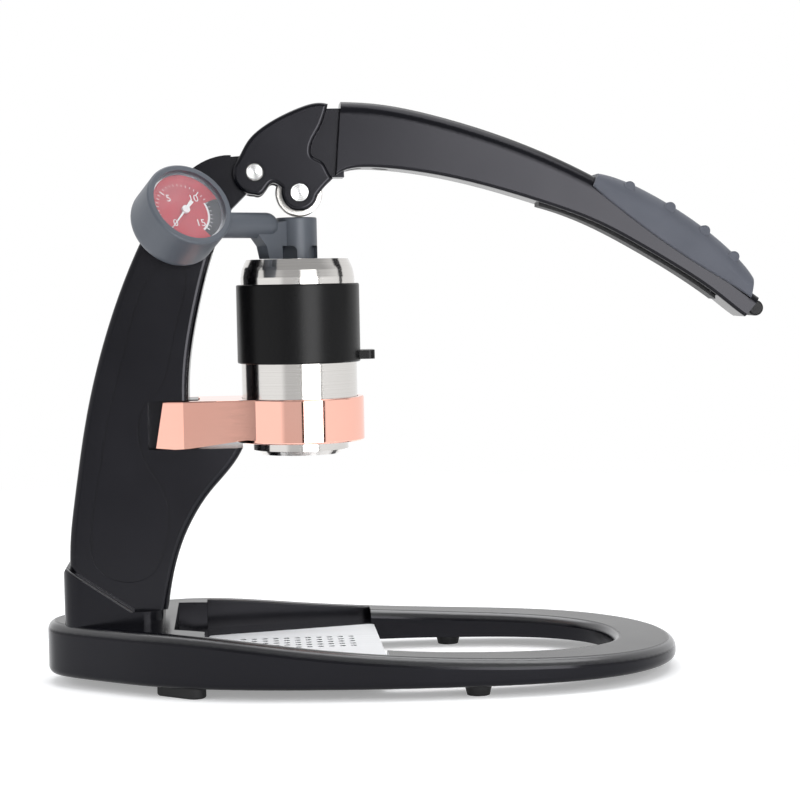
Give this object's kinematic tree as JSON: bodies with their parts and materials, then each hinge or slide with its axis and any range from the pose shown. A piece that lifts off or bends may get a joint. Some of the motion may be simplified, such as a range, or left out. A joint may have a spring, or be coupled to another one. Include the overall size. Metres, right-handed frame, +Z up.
{
  "type": "manual espresso maker",
  "caption": "Hand-lever espresso press: egg-shaped base ring with drip tray, curved post, hinged lever with roller, piston in a steel cylinder on a copper fork, pressure gauge.",
  "frame": {"origin": "on the table, at the middle of the overall length and width", "axes": "+X from the back of the base to the lever's tip, +Z up, -Y the side the gauge looks to"},
  "size_m": [0.347, 0.158, 0.2729],
  "materials": {
    "black_casting": "cast aluminium with a satin black powder coat",
    "black_plastic": "matte black",
    "grey_rubber": "soft blue-grey rubber",
    "foot_rubber": "black rubber",
    "plain_steel": "machined steel",
    "brushed_steel": "brushed stainless steel",
    "copper_finish": "polished copper plating",
    "polished_steel": "fine turned stainless steel",
    "seal_rubber": "black silicone",
    "sleeve_silicone": "satin black silicone",
    "grey_plastic": "slate grey, fine texture",
    "dial_face": "printed red and black dial with plain numbers",
    "chrome_trim": "bright chrome",
    "clear_glass": "clear",
    "needle_white": "white"
  },
  "bodies": {
    "stand": {"base_ring": "black_casting", "foot_front_far": "foot_rubber", "foot_front_near": "foot_rubber", "foot_rear_far": "foot_rubber", "foot_rear_near": "foot_rubber", "post": "black_casting", "post_bolts": "plain_steel"},
    "drip_tray": {"drip_tray_pan": "black_plastic", "drip_tray_cover": "brushed_steel"},
    "lever": {"lever_bracket": "black_casting", "pivot_pin": "plain_steel", "pivot_screws": "plain_steel", "roller_pin": "plain_steel", "roller_screws": "plain_steel", "lever_handle": "black_casting", "handle_screws": "plain_steel", "handle_underside_strip": "black_plastic", "handle_grip": "grey_rubber", "handle_end_cap": "black_plastic"},
    "roller": {"roller": "plain_steel"},
    "brew_head": {"portafilter_holder": "copper_finish", "portafilter_cup": "polished_steel", "filter_basket": "brushed_steel", "dispersion_screen": "brushed_steel", "cylinder_seal": "seal_rubber", "brew_cylinder": "polished_steel", "cylinder_sleeve": "sleeve_silicone"},
    "piston": {"piston": "polished_steel", "piston_seals": "seal_rubber", "stem": "polished_steel", "stem_nut": "plain_steel", "thrust_button": "plain_steel"},
    "gauge_arm": {"stem_housing": "grey_plastic", "gauge_case": "plain_steel", "gauge_dial": "dial_face", "gauge_bezel": "chrome_trim", "gauge_lens": "clear_glass"},
    "needle": {"gauge_needle": "needle_white"}
  },
  "joints": [
    {"name": "lever_hinge", "type": "hinge", "parent": "stand", "child": "lever", "pos_m": [-0.0709, 0, 0.2402], "axis": [0, -1, 0], "range_deg": [0, 85]},
    {"name": "roller_spin", "type": "hinge", "parent": "lever", "child": "roller", "pos_m": [-0.0501, 0, 0.2303], "axis": [0, -1, 0], "continuous": true},
    {"name": "fork_slide", "type": "slide", "parent": "stand", "child": "brew_head", "axis": [1, 0, 0], "range_m": [0, 0.08]},
    {"name": "piston_lift", "type": "slide", "parent": "brew_head", "child": "piston", "axis": [0, 0, 1], "range_m": [0, 0.0295]},
    {"name": "gauge_swivel", "type": "hinge", "parent": "piston", "child": "gauge_arm", "pos_m": [-0.0515, 0, 0.2092], "axis": [0, 0, 1], "range_deg": [-1, 86]},
    {"name": "gauge_reading", "type": "hinge", "parent": "gauge_arm", "child": "needle", "pos_m": [-0.10599, -0.03759, 0.2187], "axis": [0.445, -0.749, 0.491], "range_deg": [-270, 0], "stiffness_Nm_per_rad": 0.0005},
    {"name": "tray_lift", "type": "slide", "parent": "stand", "child": "drip_tray", "axis": [0, 0, 1], "range_m": [0, 0.03]}
  ],
  "couplings": [
    {"joint": "piston_lift", "follows": "lever_hinge", "m_per_rad": 0.0198},
    {"joint": "gauge_swivel", "follows": "lever_hinge", "ratio": 1}
  ]
}
